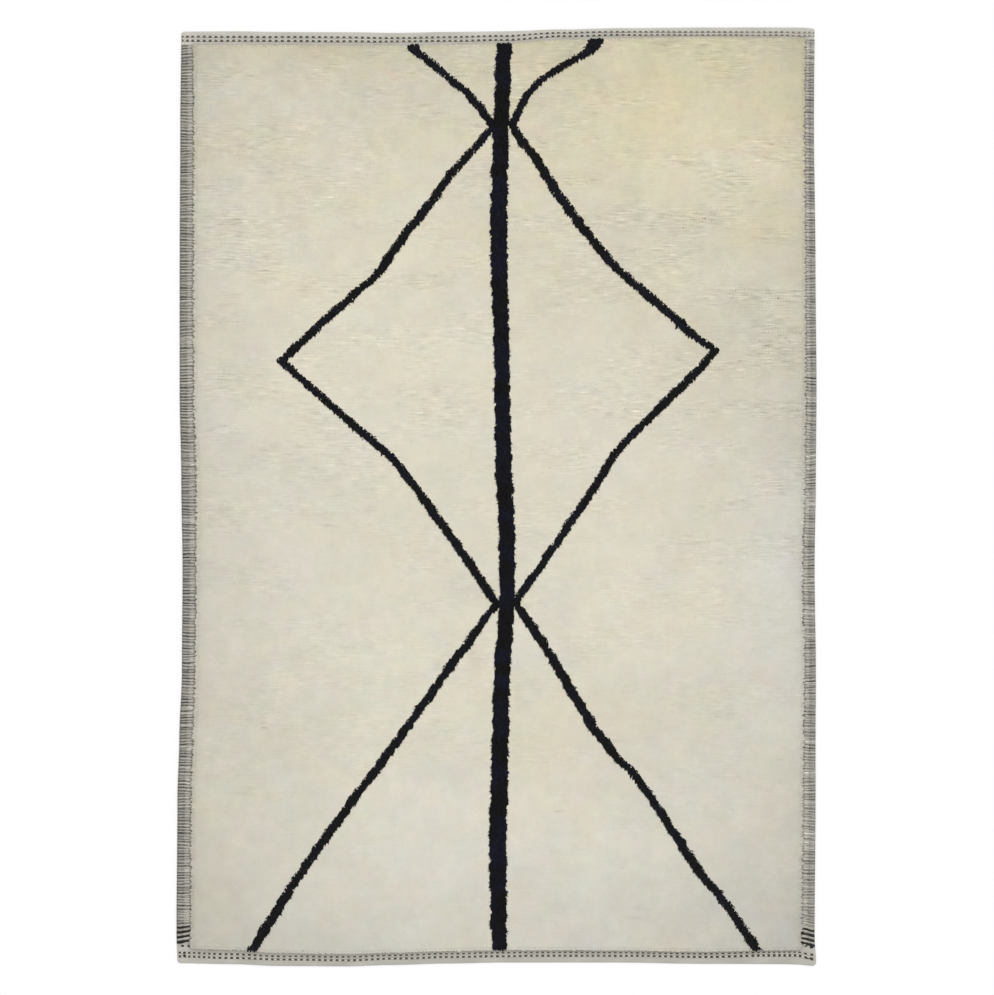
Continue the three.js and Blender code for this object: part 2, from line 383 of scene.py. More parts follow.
def corner_coloured_wool(name, stretch, roughness=0.9, fibre_scale=800.0, unevenness=0.30, ply_depth=0.7, bump=0.0004):
    """Matt wool in the colour given to each corner of a piece, painted light and shade included. Stretch is
    least along the fibres.
    """
    material = bpy.data.materials.new(name)
    material.use_nodes = True
    tree = material.node_tree
    shader = tree.nodes["Principled BSDF"]
    shader.inputs["Roughness"].default_value = roughness
    shader.inputs["Specular IOR Level"].default_value = WOOL_SPECULAR
    spun = add_node(
        tree,
        "ShaderNodeGroup",
        {
            "Vector": stretched_place(tree, stretch),
            "Fibre Scale": fibre_scale,
            "Unevenness": unevenness,
            "Ply Scale": PLY_SCALE,
            "Ply Depth": ply_depth,
        },
        node_tree=spun_wool,
    ).outputs
    colour = add_node(tree, "ShaderNodeAttribute", attribute_name="colour_and_painted_shade").outputs["Color"]
    shade_material(tree, colour, spun["Shade"])
    relief = add_node(tree, "ShaderNodeBump", {"Height": spun["Height"], "Strength": 1.0, "Distance": bump})
    tree.links.new(relief.outputs["Normal"], shader.inputs["Normal"])
    return material


foundation_faces = np.concatenate([
    quads(index[:-1, :-1], index[:-1, 1:], index[1:, 1:], index[1:, :-1]),
    quads(below[:-1, :-1], below[1:, :-1], below[1:, 1:], below[:-1, 1:]),
    quads(below[0, :-1], below[0, 1:], index[0, 1:], index[0, :-1]),
    quads(below[-1, 1:], below[-1, :-1], index[-1, :-1], index[-1, 1:]),
    quads(below[1:, 0], below[:-1, 0], index[:-1, 0], index[1:, 0]),
    quads(below[:-1, -1], below[1:, -1], index[1:, -1], index[:-1, -1]),
])
foundation_points = np.concatenate([upper, lower])
foundation = new_piece("foundation", as_woven(rounded_corners(foundation_points)), foundation_faces)
x, y = foundation_points[..., 0], foundation_points[..., 1]
web_shades = [strength * patchy(x, y, *weave) for strength, *weave in WEB_SHADES]
web_tone = sum(web_shades, start=1) * np.where(y < 0, BOTTOM_WEB_TONE, 1)
colour_corners(foundation, WEB_WOOL * web_tone[..., None])
flat_map(foundation)
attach(foundation, "root")
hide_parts("rug_body")
flat_weave = corner_coloured_wool(
    "flat_weave", FIBRES_ACROSS, roughness=0.95, fibre_scale=500.0, ply_depth=0.6, bump=0.0006
)
foundation.data.materials.append(flat_weave)


# ----------------------------------------------------------------------------------------------------------
# The knots. Each is one turn of soft wool round a pair of warps, with both its ends brought up, cut and left
# to fall towards the bottom of the rug, over the row tied before it. The lozenges are knots of dark wool, and
# no line is drawn for them but by the weaver's eye.

ROW_LENGTH = 0.0096
KNOT_WIDTH = 0.0094
DARK_KNOT_WIDTH = 0.0076
PILE_SHOULDER = 0.014
PILE_CORNER = 0.006
END_STAND = 0.004  # how much sooner the pile stands up at its ends than at its sides
LEAST_RISE = 0.5  # how high the pile is at its very edge, as a share of its full height
HIGHEST_TIP = 0.0174
PILE_MAP_SHARE = 0.9  # the share of a pile piece's map that goes to what looks up

# How the cut ends lie on top of the pile: from behind the knot to the tips, over the row below.
REAR = 0.0054
SHOULDER = -0.0052
TIP = -0.0096
REAR_TOP = 0.0158
TIP_TOP = 0.0161
KNOT_FOOT = 0.0002


def choose(piece, wanted):
    """In edit mode, selects only the corners whose place passes the test."""
    shape = bmesh.from_edit_mesh(piece.data)
    for corner in shape.verts:
        corner.select_set(bool(wanted(corner.co)))
    shape.select_flush_mode()
    bmesh.update_edit_mesh(piece.data)


def taken(piece):
    """The corners and the three-sided faces of a pattern piece, which is then thrown away."""
    bpy.ops.mesh.select_all(action="SELECT")
    bpy.ops.mesh.quads_convert_to_tris()
    bpy.ops.object.mode_set(mode="OBJECT")
    corners = corner_array(piece)
    faces = np.array([face.vertices[:] for face in piece.data.polygons])
    bpy.data.objects.remove(piece)
    return corners, faces


# The tuft of a knot in the open field, 1 across and 1 high: a five-sided post with its foot drawn in to a
# point, where it is tied, and one corner of its top towards the bottom of the rug, for its tip.
bpy.ops.object.select_all(action="DESELECT")
bpy.ops.mesh.primitive_cylinder_add(
    vertices=5, radius=0.5, depth=1, location=(0, 0, 0.5), rotation=(0, 0, math.pi)
)
bpy.ops.object.transform_apply()
bpy.ops.object.mode_set(mode="EDIT")
choose(bpy.context.object, lambda place: place.z < 0.5)
bpy.ops.mesh.merge(type="CENTER")
tuft_corners, tuft_faces = taken(bpy.context.object)
tuft_top = tuft_corners[:, 2] > 0.5
tuft_tip = tuft_top & (tuft_corners[:, 1] < -0.4)
tuft_rear = tuft_top & (tuft_corners[:, 1] > 0.2)
tuft_side = np.sign(np.round(tuft_corners[:, 0], 3)) * tuft_top

# A lock, which is what one end of a knot opens into where it can be seen from the side. It has three sides
# and stands from 0 to 1, where it starts to fall over, then is 2 high at its lip and 3 at its point.
bpy.ops.mesh.primitive_cylinder_add(vertices=3, radius=0.5, depth=1, location=(0, 0, 0.5))
bpy.ops.object.transform_apply()
bpy.ops.object.mode_set(mode="EDIT")
lock = bpy.context.object
for _ in range(2):
    shape = bmesh.from_edit_mesh(lock.data)
    top = max(corner.co.z for corner in shape.verts)
    choose(lock, lambda place: place.z > top - 0.1)
    bpy.ops.mesh.extrude_region_move(TRANSFORM_OT_translate={"value": (0, 0, 1)})
bpy.ops.mesh.merge(type="CENTER")
lock_corners, lock_faces = taken(lock)
lock_stage = np.rint(lock_corners[:, 2]).astype(int)
lock_across = lock_corners[:, 0] / np.abs(lock_corners[:, 0]).max()
lock_keel = lock_corners[:, 1] > 0.1


# The design, as the weaver carries it up the rug: the middle of each line and how wide it is along a row, at
# the places where the line turns.
#    y, middle, width
CENTRE_BAND = [
    (1.45, 0.027, 0.050), (1.15, 0.015, 0.052), (0.85, 0.007, 0.056), (0.40, 0.018, 0.050),
    (0.10, 0.024, 0.054), (-0.10, 0.033, 0.054), (-0.30, 0.034, 0.052), (-0.65, 0.015, 0.054),
    (-1.10, 0.005, 0.058), (-1.46, 0.011, 0.048),
]
TOP_LEFT_ARM = [
    (1.45, -0.280, 0.038), (1.40, -0.255, 0.040), (1.26, -0.085, 0.034), (1.16, -0.010, 0.032),
]
TOP_RIGHT_ARM = [
    (1.45, 0.337, 0.044), (1.39, 0.283, 0.050), (1.31, 0.145, 0.036), (1.26, 0.098, 0.031),
    (1.17, 0.050, 0.029),
]
UPPER_LEFT_SIDE = [
    (1.16, -0.008, 0.032), (1.01, -0.142, 0.034), (0.93, -0.197, 0.034), (0.84, -0.270, 0.034),
    (0.70, -0.369, 0.036), (0.57, -0.517, 0.040), (0.425, -0.673, 0.034),
]
LOWER_LEFT_SIDE = [
    (0.425, -0.673, 0.034), (0.19, -0.408, 0.038), (0.13, -0.334, 0.034), (0.02, -0.246, 0.032),
    (-0.12, -0.146, 0.035), (-0.334, 0.002, 0.033),
]
UPPER_RIGHT_SIDE = [
    (1.17, 0.047, 0.030), (1.12, 0.073, 0.036), (1.07, 0.117, 0.034), (0.95, 0.192, 0.036),
    (0.82, 0.287, 0.036), (0.71, 0.381, 0.038), (0.63, 0.478, 0.042), (0.50, 0.626, 0.042),
    (0.459, 0.687, 0.034),
]
LOWER_RIGHT_SIDE = [
    (0.459, 0.687, 0.034), (0.37, 0.608, 0.038), (0.18, 0.413, 0.034), (0.14, 0.376, 0.032),
    (0.01, 0.296, 0.032), (-0.24, 0.124, 0.031), (-0.334, 0.060, 0.031),
]
LEFT_LEG = [
    (-0.333, 0.002, 0.032), (-0.50, -0.120, 0.034), (-0.86, -0.377, 0.034), (-0.95, -0.450, 0.034),
    (-1.20, -0.627, 0.034), (-1.46, -0.788, 0.035),
]
RIGHT_LEG = [
    (-0.333, 0.060, 0.032), (-0.42, 0.123, 0.034), (-0.72, 0.303, 0.037), (-0.81, 0.371, 0.036),
    (-0.86, 0.423, 0.033), (-0.96, 0.496, 0.032), (-1.18, 0.640, 0.037), (-1.25, 0.701, 0.033),
    (-1.46, 0.845, 0.035),
]
LINES = [
    CENTRE_BAND, TOP_LEFT_ARM, TOP_RIGHT_ARM, UPPER_LEFT_SIDE, LOWER_LEFT_SIDE,
    UPPER_RIGHT_SIDE, LOWER_RIGHT_SIDE, LEFT_LEG, RIGHT_LEG,
]

# The two edges of a line each slip sideways in short bumps, and wander together in longer ones.
LINE_SLIP = 0.0030
LINE_BUMPS = 0.013
LINE_WANDER = 0.0022
WANDER_LENGTH = 0.020
KNOT_SLIP = 0.0007
EDGE_INSET = 0.002  # how far inside a line's edge its wisps are tied; lines this near are tied as one
LOCK_SHOWS = -0.0032  # where a dark lock is seen along the rug, from its knot
LOCK_SPILL = 0.0030  # how far a dark lock spreads to each side of its knot

rng = np.random.default_rng(5)
field_left, field_right = SIDE_LINES[1], SIDE_LINES[2]
field_bottom, field_top = END_LINES[3], END_LINES[4]
first_row, last_row = field_bottom - TIP, field_top - REAR
row_count = round((last_row - first_row) / ROW_LENGTH) + 1
row_step = (last_row - first_row) / (row_count - 1)

# Where each line crosses the rows, and the places half way between them, where the second end of a dark knot
# falls. A dark lock shows from its root to its point, and spills over the edge of its line.
half_rows = np.arange(2 * row_count - 1) / 2
row_shows = first_row + row_step * half_rows + LOCK_SHOWS
crossings = []
for line in LINES:
    y, middle, width = np.array(line)[::-1].T
    guess = np.interp(row_shows, y, middle)
    real_y = row_shows + stray(END_LINES, END_ROWS, row_shows, guess)
    real_x = np.interp(real_y, y, middle)
    half = np.interp(real_y, y, width) / 2 - LOCK_SPILL
    slip = LINE_SLIP * row_noise(row_shows, np.array([[0], [1]]), LINE_BUMPS, len(crossings) + 70)
    slip = slip + LINE_WANDER * row_noise(row_shows, 0, WANDER_LENGTH, len(crossings) + 80)
    slip = slip + rng.normal(0, KNOT_SLIP, (2, len(half_rows)))
    laid_x = real_x - stray(SIDE_LINES, SIDE_ROWS, real_x, row_shows)
    here = (real_y > y[0]) & (real_y <= y[-1])
    crossings.append(np.where(here, [laid_x - half + slip[0], laid_x + half + slip[1]], np.nan))
crossings = np.array(crossings)


def tie_run(row, left, right, knot_width):
    """The knots of one run of a row: where they are tied along it, the row, and how wide each is."""
    count = max(round((right - left) / knot_width), 1)
    each = (right - left) / count
    return [(left + (knot + 0.5) * each, row, each) for knot in range(count)]


# Every row is tied from side to side, changing wool at each line that it crosses. A row is shorter where the
# corners of the pile are round. An edge is where dark wool starts or ends, and the side it faces.
ROW_END_SPREAD = 0.0010
ivory_knots, dark_knots, line_edges = [], [], []
for row, row_crossings in zip(half_rows, np.moveaxis(crossings, 2, 0)):
    spans = []
    for low, high in sorted(tuple(span) for span in row_crossings if not math.isnan(span[0])):
        if spans and low < spans[-1][1] + EDGE_INSET:
            spans[-1][1] = max(spans[-1][1], high)
        else:
            spans.append([low, high])
    for low, high in spans:
        dark_knots += tie_run(row, low, high, DARK_KNOT_WIDTH)
        line_edges += [(low + EDGE_INSET, row, -1), (high - EDGE_INSET, row, 1)]
    if row == int(row):
        from_end = max(min(row, row_count - 1 - row) * row_step, 0)
        lost = PILE_CORNER - math.sqrt(PILE_CORNER ** 2 - max(PILE_CORNER - from_end, 0) ** 2)
        ragged = rng.normal(0, ROW_END_SPREAD, 2)
        left, right = field_left + lost + ragged[0], field_right - lost + ragged[1]
        stops = [left, *(stop for span in spans for stop in span), right]
        for start, end in zip(stops[::2], stops[1::2]):
            ivory_knots += tie_run(row, start, end, KNOT_WIDTH)


def pile_rise(x, y):
    """How much of its full height the pile has at a place: it falls away at the sides and the ends."""
    from_side = np.minimum(x - field_left, field_right - x)
    from_end = np.minimum(y - field_bottom, field_top - y) + END_STAND
    inside = np.clip(np.minimum(from_side, from_end) / PILE_SHOULDER, 0, 1)
    return LEAST_RISE + (1 - LEAST_RISE) * np.sqrt(1 - (1 - inside) ** 2)


def in_patches(patches, x, y):
    """The changes made at a place by soft oval patches: x, y, half width, half length, change."""
    total = 0 * x
    for middle_x, middle_y, half_width, half_length, change in patches:
        across, along = (x - middle_x) / half_width, (y - middle_y) / half_length
        total = total + change * np.exp(-across ** 2 - along ** 2)
    return total


# How unevenly the pile lies along the rug: most in the upper half, where it was woven last, and most of all
# in a few patches near the sides.
#    y, unevenness
UNEVENNESS = np.array([
    (-1.474, 0.17), (-1.15, 0.21), (-0.70, 0.42), (-0.30, 0.56), (0.35, 0.84), (1.474, 0.95),
])
#    x, y, half width, half length, how much more uneven
UNEVEN_PATCHES = [
    (-0.86, 0.72, 0.14, 0.26, 0.40),
    (0.84, 0.60, 0.20, 0.22, 0.95),
    (0.80, 0.12, 0.25, 0.22, 0.75),
    (0.63, 1.00, 0.35, 0.28, 0.35),
]
# From one small patch to the next, the pile takes from CALM to ROUGH times that.
CALM = 0.25
ROUGH = 1.5
ROUGH_SHARE = 0.4
ROUGH_WIDTH = 0.16
ROUGH_LENGTH = 0.06


def unevenness_at(x, y):
    """How strongly the rows stand out from one another at a place, about 1 in the upper half, in patches."""
    strength = np.interp(y, *UNEVENNESS.T) + in_patches(UNEVEN_PATCHES, x, y)
    rough = np.clip(ROUGH_SHARE + patchy(x, y, ROUGH_WIDTH, ROUGH_LENGTH, 23), 0, 1)
    return strength * (CALM + (ROUGH - CALM) * rough)


# Where the pile has parted along a row and shows its depth, which is sunk and given painted shade: short
# stretches, mostly in the upper half and near the sides. Two of the rows above each are parted too, less
# deeply.
PARTINGS = 90
LEFT_PARTINGS = 0.55  # the share of them that lie on the left
PARTING_REACH = (0.012, 0.050)
LEAST_PARTING = 0.2
PARTED_UNEVENNESS = 1.6
parting_rng = np.random.default_rng(17)
parting_row = (row_count * parting_rng.beta(2.2, 1.4, PARTINGS)).astype(int)
parting_side = np.where(parting_rng.random(PARTINGS) < LEFT_PARTINGS, -1, 1)
parting_x = parting_side * (0.93 - 0.75 * parting_rng.random(PARTINGS) ** 1.6)
parting_reach = parting_rng.uniform(*PARTING_REACH, PARTINGS)
parting_depth = parting_rng.uniform(LEAST_PARTING, 1.0, PARTINGS) ** 2.5


def partings(x, row):
    """How deeply the pile is parted at each knot, from 0 to 1."""
    depth = np.zeros(len(x))
    for at, middle, reach, deep in zip(parting_row, parting_x, parting_reach, parting_depth):
        for step, share in ((0, 1.0), (parting_rng.integers(1, 4), 0.6), (parting_rng.integers(4, 7), 0.4)):
            near = (row == at + step) & (np.abs(x - middle) < reach)
            from_middle = np.abs(x[near] - middle) / reach
            depth[near] = np.maximum(depth[near], deep * share * (1 - from_middle ** 2))
    return depth


# The fleece. Ivory wool goes from a greyish white to a straw yellow, a little pinker or greener from one
# spinning to the next, and is made darker towards the sides and the ends: at the sides partly dust and
# partly painted shade where the pile falls away.
GREY_FLEECE = np.array([0.615, 0.597, 0.532])
STRAW_FLEECE = np.array([0.652, 0.594, 0.422])
#    y, how yellow
YELLOWNESS = np.array([
    (-1.474, 0.09), (-1.15, 0.20), (-0.80, 0.31), (-0.10, 0.33),
    (0.35, 0.41), (0.90, 0.50), (1.25, 0.52), (1.474, 0.64),
])
#    x, y, half width, half length, how much yellower
YELLOW_PATCHES = [
    (0.62, 1.24, 0.50, 0.30, 0.42),
    (0.38, 1.25, 0.22, 0.22, 0.12),
    (0.78, 0.80, 0.14, 0.12, 0.22),
    (-0.25, 1.43, 0.85, 0.12, 0.13),
    (0.95, 1.12, 0.14, 0.30, 0.12),
    (-0.95, 0.60, 0.30, 1.20, -0.12),
    (-0.90, -1.25, 0.15, 0.30, 0.20),
    (0.15, -0.80, 0.20, 0.14, 0.13),
    (0.95, -0.35, 0.18, 0.50, -0.36),
    (0.45, -0.45, 0.30, 0.30, 0.06),
]
#    x, y, half width, half length, how much duller
DULL_PATCHES = [
    (0.00, 1.10, 1.40, 0.35, 0.030),
    (0.10, 1.32, 0.70, 0.18, 0.062),
    (0.15, 0.58, 0.45, 0.14, 0.026),
    (0.75, 0.80, 0.30, 0.14, 0.026),
    (0.25, -0.80, 0.35, 0.12, 0.024),
    (0.78, 0.46, 0.26, 0.36, 0.095),
    (0.93, 0.20, 0.09, 0.18, 0.060),
    (0.10, 0.95, 0.30, 0.20, 0.030),
    (-0.85, -0.70, 0.34, 0.95, 0.060),
    (-0.75, -1.30, 0.30, 0.30, 0.050),
    (0.85, -0.80, 0.38, 0.60, 0.050),
    (0.85, -1.30, 0.30, 0.25, 0.065),
    (-0.15, 0.25, 0.38, 0.30, -0.030),
    (-0.20, -1.15, 0.20, 0.25, -0.020),
]


def mottled(x, y, sizes, seed):
    """Random patches of several sizes laid over one another."""
    return sum(patchy(x, y, size, 0.75 * size, seed + step) for step, size in enumerate(sizes))


# How mottled the wool is along the rug. The spinnings that came last are the least alike.
#    y, how mottled
MOTTLING = np.array([(-1.474, 0.9), (-0.80, 1.0), (0.30, 0.85), (0.90, 1.10), (1.474, 1.30)])
YELLOW_MOTTLING = 0.095
YELLOW_MOTTLES = (0.020, 0.04, 0.08, 0.20)
BLUSH_MOTTLING = 0.0155
BLUSH_MOTTLES = (0.015, 0.03, 0.05, 0.10)
BLUSH = np.array([0.5, -0.5, 0.1])
SHADE_MOTTLING = 0.023
SHADE_MOTTLES = (0.014, 0.026, 0.05, 0.12, 0.26)

# How much darker the pile is made towards its edges, and how far in from the edge that reaches: at the
# sides partly dust and partly painted shade where the pile falls away at its shoulder, at the ends only
# darker.
SIDE_DUST_AND_SHADE = [(0.10, 0.09), (0.06, 0.012)]
TOP_DARKENING = [(0.12, 0.12)]
BOTTOM_DARKENING = [(0.13, 0.20)]


def edge_darkening(distance, darkenings):
    """How much darker the wool is made at a distance from an edge of the pile."""
    return sum(most * np.exp(-distance / reach) for most, reach in darkenings)


def fleece_and_shade_colours(x, y, tone):
    """The colour of the ivory wool at each place, made darker towards the edges of the pile (at the sides
    partly painted shade), times a tone.
    """
    yellow = np.interp(y, *YELLOWNESS.T) + in_patches(YELLOW_PATCHES, x, y)
    mottling = np.interp(y, *MOTTLING.T)
    yellow = yellow + YELLOW_MOTTLING * mottling * mottled(x, y, YELLOW_MOTTLES, 41)
    yellow = np.clip(yellow, -0.1, 1.2)[..., None]
    blush = (BLUSH_MOTTLING * mottling * mottled(x, y, BLUSH_MOTTLES, 51))[..., None]
    # Darker towards the sides, partly dust and partly painted shade where the pile falls away, and towards
    # the ends.
    from_side = np.maximum(np.minimum(x - field_left, field_right - x), 0)
    darkened = edge_darkening(from_side, SIDE_DUST_AND_SHADE) + in_patches(DULL_PATCHES, x, y)
    darkened = darkened + edge_darkening(field_top - y, TOP_DARKENING) + edge_darkening(y - field_bottom, BOTTOM_DARKENING)
    tone = tone * (1 - darkened + SHADE_MOTTLING * mottling * mottled(x, y, SHADE_MOTTLES, 44))
    colour = GREY_FLEECE * (1 - yellow) + STRAW_FLEECE * yellow
    return colour * (1 + blush * BLUSH) * tone[..., None]


# How the tufts differ: how wide their tops are as a share of the knot, how far their tips and corners stray,
# how far a row sways and by how much it rises and sinks, and over what lengths along the row. Then the
# painted light and shade: how much lighter or darker a stretch of row is painted, and how much painted
# shade its rear gets where the row above hangs over it.
TUFT_SPREAD = 0.58
TIP_STRAY = 0.0018
CORNER_STRAY = 0.0008
ROW_SWAY = 0.0012
SWAY_LENGTH = 0.03
ROW_LEVEL = 0.00030
LEVEL_LENGTH = 0.036
PATCH_LEVEL = 0.00035
LEVEL_PATCH = (0.05, 0.03)
TUFT_LEVEL = 0.00008
TIP_LIFT = 0.0002
PARTING_DEPTH = 0.0007
#    strength, length, seed
PAINTED_ROW_STREAKS = [(0.05, 0.036, 31), (0.03, 0.018, 32)]
REAR_PAINTED_SHADE = 0.06
REAR_PAINTED_SHADE_LENGTH = 0.024
PARTING_PAINTED_SHADE = 0.03
PARTING_REAR_PAINTED_SHADE = 0.10
TUFT_SHADE = 0.008


def lay_tufts(knots):
    """The tufts of the open field: each corner where it comes to lie, its colour and its unevenness, and
    the row of each tuft."""
    x, row, width = np.array(knots).T
    y = first_row + row_step * row
    uneven = unevenness_at(x, y)[:, None]
    count, corners = len(x), len(tuft_corners)
    parted = partings(x, row)[:, None]
    row = row[:, None]
    px = x[:, None] + tuft_side * TUFT_SPREAD * width[:, None]
    px = px + tuft_tip * rng.normal(0, TIP_STRAY, (count, 1))
    forward = np.where(tuft_tip, TIP, np.where(tuft_rear, REAR, SHOULDER)) * tuft_top
    # Each row wavers along its length, and its tips lie now further over the row below, now less far.
    sway = ROW_SWAY * uneven * row_noise(px, row, SWAY_LENGTH, 25)
    sway = sway + rng.normal(0, CORNER_STRAY, (count, corners))
    py = y[:, None] + forward + tuft_top * sway
    level = ROW_LEVEL * row_noise(px, row, LEVEL_LENGTH, 21) + PATCH_LEVEL * patchy(px, py, *LEVEL_PATCH, 22)
    level = level * uneven + rng.normal(0, TUFT_LEVEL, (count, 1))
    height = np.where(tuft_rear, REAR_TOP - TIP_LIFT * uneven, TIP_TOP + TIP_LIFT * uneven) + level
    height = height - TIP_LIFT * uneven * tuft_tip + parted * np.where(tuft_rear, -PARTING_DEPTH, TIP_LIFT)
    height = np.minimum(height, HIGHEST_TIP)
    pz = np.where(tuft_top, KNOT_FOOT + (height - KNOT_FOOT) * pile_rise(px, py), KNOT_FOOT)
    # A few stretches of row are painted lighter or darker than the rest, and most hardly at all:
    # painted light and shade for an uneven pile. Each row's rear gets painted shade where the row above
    # hangs over it.
    streaks = sum(strength * row_noise(px, row, length, seed) ** 3 for strength, length, seed in PAINTED_ROW_STREAKS)
    shaded = REAR_PAINTED_SHADE * np.clip(row_noise(px, row, REAR_PAINTED_SHADE_LENGTH, 33), 0, 1)
    tone = 1 + uneven * (streaks - tuft_rear * shaded)
    tone = tone - parted * (PARTING_PAINTED_SHADE + PARTING_REAR_PAINTED_SHADE * tuft_rear)
    tone = tone + TUFT_SHADE * rng.normal(0, 1, (count, 1))
    points = as_woven(np.stack([px, py, pz], axis=-1))
    uneven = (uneven + PARTED_UNEVENNESS * parted) * np.ones((1, corners))
    return points, fleece_and_shade_colours(px, py, tone), uneven, row[:, 0].astype(int)


# How wide a lock is at each of its four stages, as a share of its knot, and how thick.
LOCK_WIDTHS = np.array([0.7, 1.0, 0.8, 0.0])
LOCK_DEPTHS = np.array([0.004, 0.0030, 0.0022, 0.0])
LOCK_HEIGHTS = (0.0, 0.90, 0.97, 1.0)
LOCK_SETBACK = 0.001
FALL_SPREAD = 0.16
TURN_SPREAD = 0.22
RISE_SPREAD = 0.0002


def lay_locks(knots, fall, rise, lean, heights=LOCK_HEIGHTS, spread=1.15, lip=0.55):
    """Locks whose points reach `fall` forward and lie `rise` high, leaning sideways by `lean`, and which
    narrow from `lip` of the way along to their points."""
    x, row, width = np.array(knots).T
    y = first_row + row_step * row
    count = len(x)
    stage = lock_stage[None].repeat(count, 0)
    reach = np.array([0, 0, lip, 1.0])[stage] * (1 + rng.normal(0, FALL_SPREAD, (count, 1)))
    turn = rng.normal(0, TURN_SPREAD, (count, 1)) + lean[:, None]
    across = lock_across * LOCK_WIDTHS[stage] * spread * width[:, None] / 2
    back = lock_keel * LOCK_DEPTHS[stage]
    forward = reach * fall[:, None]
    px = x[:, None] + across * np.cos(turn) + forward * np.sin(turn)
    py = y[:, None] + LOCK_SETBACK - forward * np.cos(turn) + across * np.sin(turn) + back * (stage == 0)
    pz = KNOT_FOOT + np.array(heights)[stage] * rise[:, None] - back * (stage > 0)
    pz = np.maximum(pz + rng.normal(0, RISE_SPREAD, (count, 1)) * (stage > 0), KNOT_FOOT)
    return as_woven(np.stack([px, py, pz], axis=-1))


def add_painted_row_streaks(material, along_row, across_scale, faint, strong):
    """Lays thin streaks of painted light and shade along the rows of a material, as an uneven pile shows
    them, as strong as a piece's unevenness is.
    """
    tree = material.node_tree
    plain = tree.nodes["Principled BSDF"].inputs["Base Color"].links[0].from_socket
    along = stretched_place(tree, (along_row, 1.0, 0.0))
    noise = add_node(tree, "ShaderNodeTexNoise", {"Vector": along, "Scale": across_scale, "Detail": 1.0})
    swing = math_node(tree, "MULTIPLY_ADD", noise.outputs["Fac"], 4.0, -2.0)
    square = math_node(tree, "MULTIPLY", swing, swing)
    gain = math_node(tree, "MULTIPLY_ADD", square, strong, faint)
    streak = math_node(tree, "MULTIPLY", swing, gain)
    uneven = add_node(tree, "ShaderNodeAttribute", attribute_name="unevenness").outputs["Fac"]
    shade_material(tree, plain, math_node(tree, "MULTIPLY_ADD", streak, uneven, 1.0))


def pile_piece(name, points, faces, colours, wool):
    """One piece from laid tufts or locks, added to the pile."""
    count, corners = points.shape[:2]
    joined = faces[None] + corners * np.arange(count)[:, None, None]
    piece = new_piece(name, points, joined.reshape(-1, 3))
    piece.data.shade_flat()
    colour_corners(piece, colours)
    flat_map(piece, PILE_MAP_SHARE)
    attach(piece, "root")
    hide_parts("rug_body")
    piece.data.materials.append(wool)
    return piece


ivory_wool = corner_coloured_wool("ivory_pile_wool", FIBRES_ALONG, unevenness=0.10, ply_depth=0.0, bump=0.0003)
# The ivory pile wool gets thin streaks of painted light and shade along its rows.
add_painted_row_streaks(ivory_wool, along_row=0.12, across_scale=200.0, faint=0.055, strong=0.085)
navy_wool = corner_coloured_wool("navy_black_pile_wool", FIBRES_ALONG, roughness=0.95, ply_depth=0.0, bump=0.0003)

points, colours, uneven, row = lay_tufts(ivory_knots)
PANELS = 3
for panel in range(PANELS):
    which = row * PANELS // row_count == panel
    name = f"ivory_pile_{panel + 1}"
    piece = pile_piece(name, points[which], tuft_faces, colours[which], ivory_wool)
    unevenness = piece.data.attributes.new("unevenness", "FLOAT", "POINT")
    unevenness.data.foreach_set("value", uneven[which].ravel())

# The dark wool goes from a brown black to navy. It is dyed deepest in the centre band, and is a little faded
# and less blue in the thin lines. The knots of the last row also fall the other way, over the web.
DARK_FALL = 0.0125
DARK_TOP = 0.0172
TOP_FALL = (0.0070, 0.0094)
TOP_EDGE = 0.0165
END_LEAN_SPREAD = 0.3
FRINGE_HEIGHTS = (0.0, 1.0, 0.93, 0.76)
FRINGE_LIP = 0.80
BROWN_BLACK_FLEECE = np.array([0.0035, 0.0034, 0.0034])
NAVY_FLEECE = np.array([0.0042, 0.0047, 0.0112])
NAVY_SHARE = 0.45
NAVY_SWING = 0.9
NAVY_PATCH = (0.05, 0.04)
DARK_SPREAD = 0.30
BAND_MIDDLE = 0.015
BAND_REACH = 0.045
THIN_LINE_FADING = 0.5
THIN_LINE_NAVY = 0.4


def dark_colours(points):
    """The colour of dark locks where they lie, a little different from one lock to the next."""
    x, y = points[..., 0], points[..., 1]
    thin = np.abs(x - BAND_MIDDLE) > BAND_REACH
    navy = np.clip(NAVY_SHARE + NAVY_SWING * patchy(x, y, *NAVY_PATCH, 61), 0, 1)
    navy = navy * np.where(thin, THIN_LINE_NAVY, 1)
    tone = (1 + DARK_SPREAD * rng.normal(0, 1, (len(points), 1))) * (1 + THIN_LINE_FADING * thin)
    return (BROWN_BLACK_FLEECE * (1 - navy[..., None]) + NAVY_FLEECE * navy[..., None]) * tone[..., None]


last_knots = np.array([knot for knot in dark_knots if knot[1] > row_count - 2])
count, last = len(dark_knots), len(last_knots)
points = np.concatenate([
    lay_locks(dark_knots, np.full(count, DARK_FALL), np.full(count, DARK_TOP), np.zeros(count)),
    lay_locks(
        last_knots,
        rng.uniform(*TOP_FALL, last),
        np.full(last, TOP_EDGE),
        math.pi + rng.normal(0, END_LEAN_SPREAD, last),
        heights=FRINGE_HEIGHTS,
        lip=FRINGE_LIP,
    ),
])
pile_piece("lozenge_pile", points, lock_faces, dark_colours(points), navy_wool)

